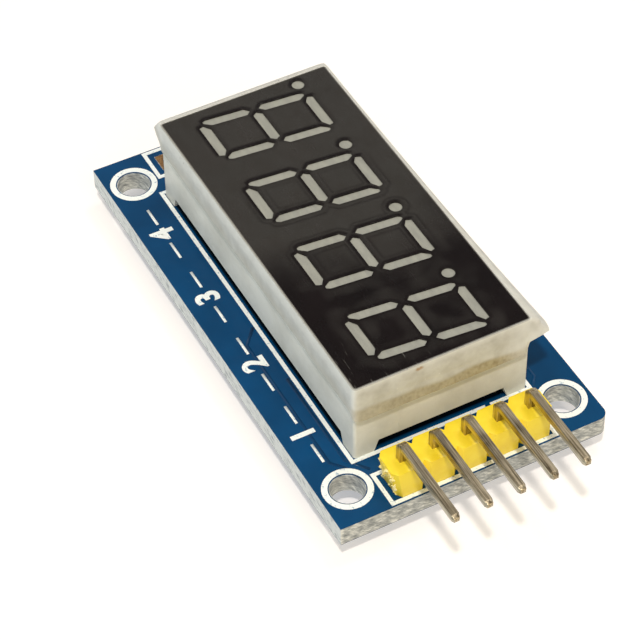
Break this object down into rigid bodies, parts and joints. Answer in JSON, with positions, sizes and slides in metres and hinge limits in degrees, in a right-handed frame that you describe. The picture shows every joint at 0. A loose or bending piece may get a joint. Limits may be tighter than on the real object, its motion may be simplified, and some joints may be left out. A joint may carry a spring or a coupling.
{
  "type": "seven segment display module",
  "caption": "Seven segment display on a blue circuit board with corner holes, a bent pin header at one end and driver chips below.",
  "frame": {"origin": "middle of the four corner holes, on the underside of the circuit board", "axes": "+X along the board in reading direction, away from the header; +Y up in reading direction; +Z out of the board's upper side"},
  "size_m": [0.0459, 0.0214, 0.0106],
  "materials": {
    "glass_fibre_board": "bare cut edge",
    "blue_solder_mask": "glossy coat",
    "white_ink": "printed",
    "bare_copper": "dull",
    "white_housing": "moulded",
    "black_face": "smooth",
    "grey_epoxy": "cast",
    "light_die": "cut",
    "light_board_laminate": "laminate",
    "back_resin": "poured",
    "tinned_wire": "tinned",
    "solder": "bright",
    "frosted_film": "frosted",
    "yellow_header": "moulded",
    "header_pin_metal": "dull plated",
    "black_case": "moulded",
    "resistor_coat": "glazed",
    "capacitor_ceramic": "fired"
  },
  "bodies": {
    "root": {"circuit_board": "glass_fibre_board", "solder_mask_top": "blue_solder_mask", "solder_mask_bottom": "blue_solder_mask", "silkscreen_top": "white_ink", "display_housing": "white_housing", "face_overlay": "black_face", "light_board": "light_board_laminate", "potting": "back_resin", "display_solder": "solder", "protective_film": "frosted_film", "header_body": "yellow_header", "header_solder": "solder", "lands": "bare_copper", "resistor_ends": "solder", "capacitor_ends": "solder", "spare_hole_1": "bare_copper", "header_pin_1": "header_pin_metal", "spare_hole_2": "bare_copper", "header_pin_2": "header_pin_metal", "spare_hole_3": "bare_copper", "header_pin_3": "header_pin_metal", "spare_hole_4": "bare_copper", "header_pin_4": "header_pin_metal", "spare_hole_5": "bare_copper", "header_pin_5": "header_pin_metal", "digit_1_segments": "grey_epoxy", "digit_1_dice": "light_die", "digit_2_segments": "grey_epoxy", "digit_2_dice": "light_die", "digit_3_segments": "grey_epoxy", "digit_3_dice": "light_die", "digit_4_segments": "grey_epoxy", "digit_4_dice": "light_die", "display_pin_1": "tinned_wire", "display_pin_2": "tinned_wire", "display_pin_3": "tinned_wire", "display_pin_4": "tinned_wire", "display_pin_5": "tinned_wire", "display_pin_6": "tinned_wire", "display_pin_7": "tinned_wire", "display_pin_8": "tinned_wire", "display_pin_9": "tinned_wire", "display_pin_10": "tinned_wire", "display_pin_11": "tinned_wire", "display_pin_12": "tinned_wire", "driver_1_case": "black_case", "driver_1_leads": "tinned_wire", "capacitor_1": "capacitor_ceramic", "driver_2_case": "black_case", "driver_2_leads": "tinned_wire", "capacitor_2": "capacitor_ceramic", "resistor_1": "resistor_coat", "resistor_2": "resistor_coat", "resistor_3": "resistor_coat", "resistor_4": "resistor_coat", "resistor_5": "resistor_coat", "resistor_6": "resistor_coat", "resistor_7": "resistor_coat", "resistor_8": "resistor_coat"}
  },
  "joints": []
}
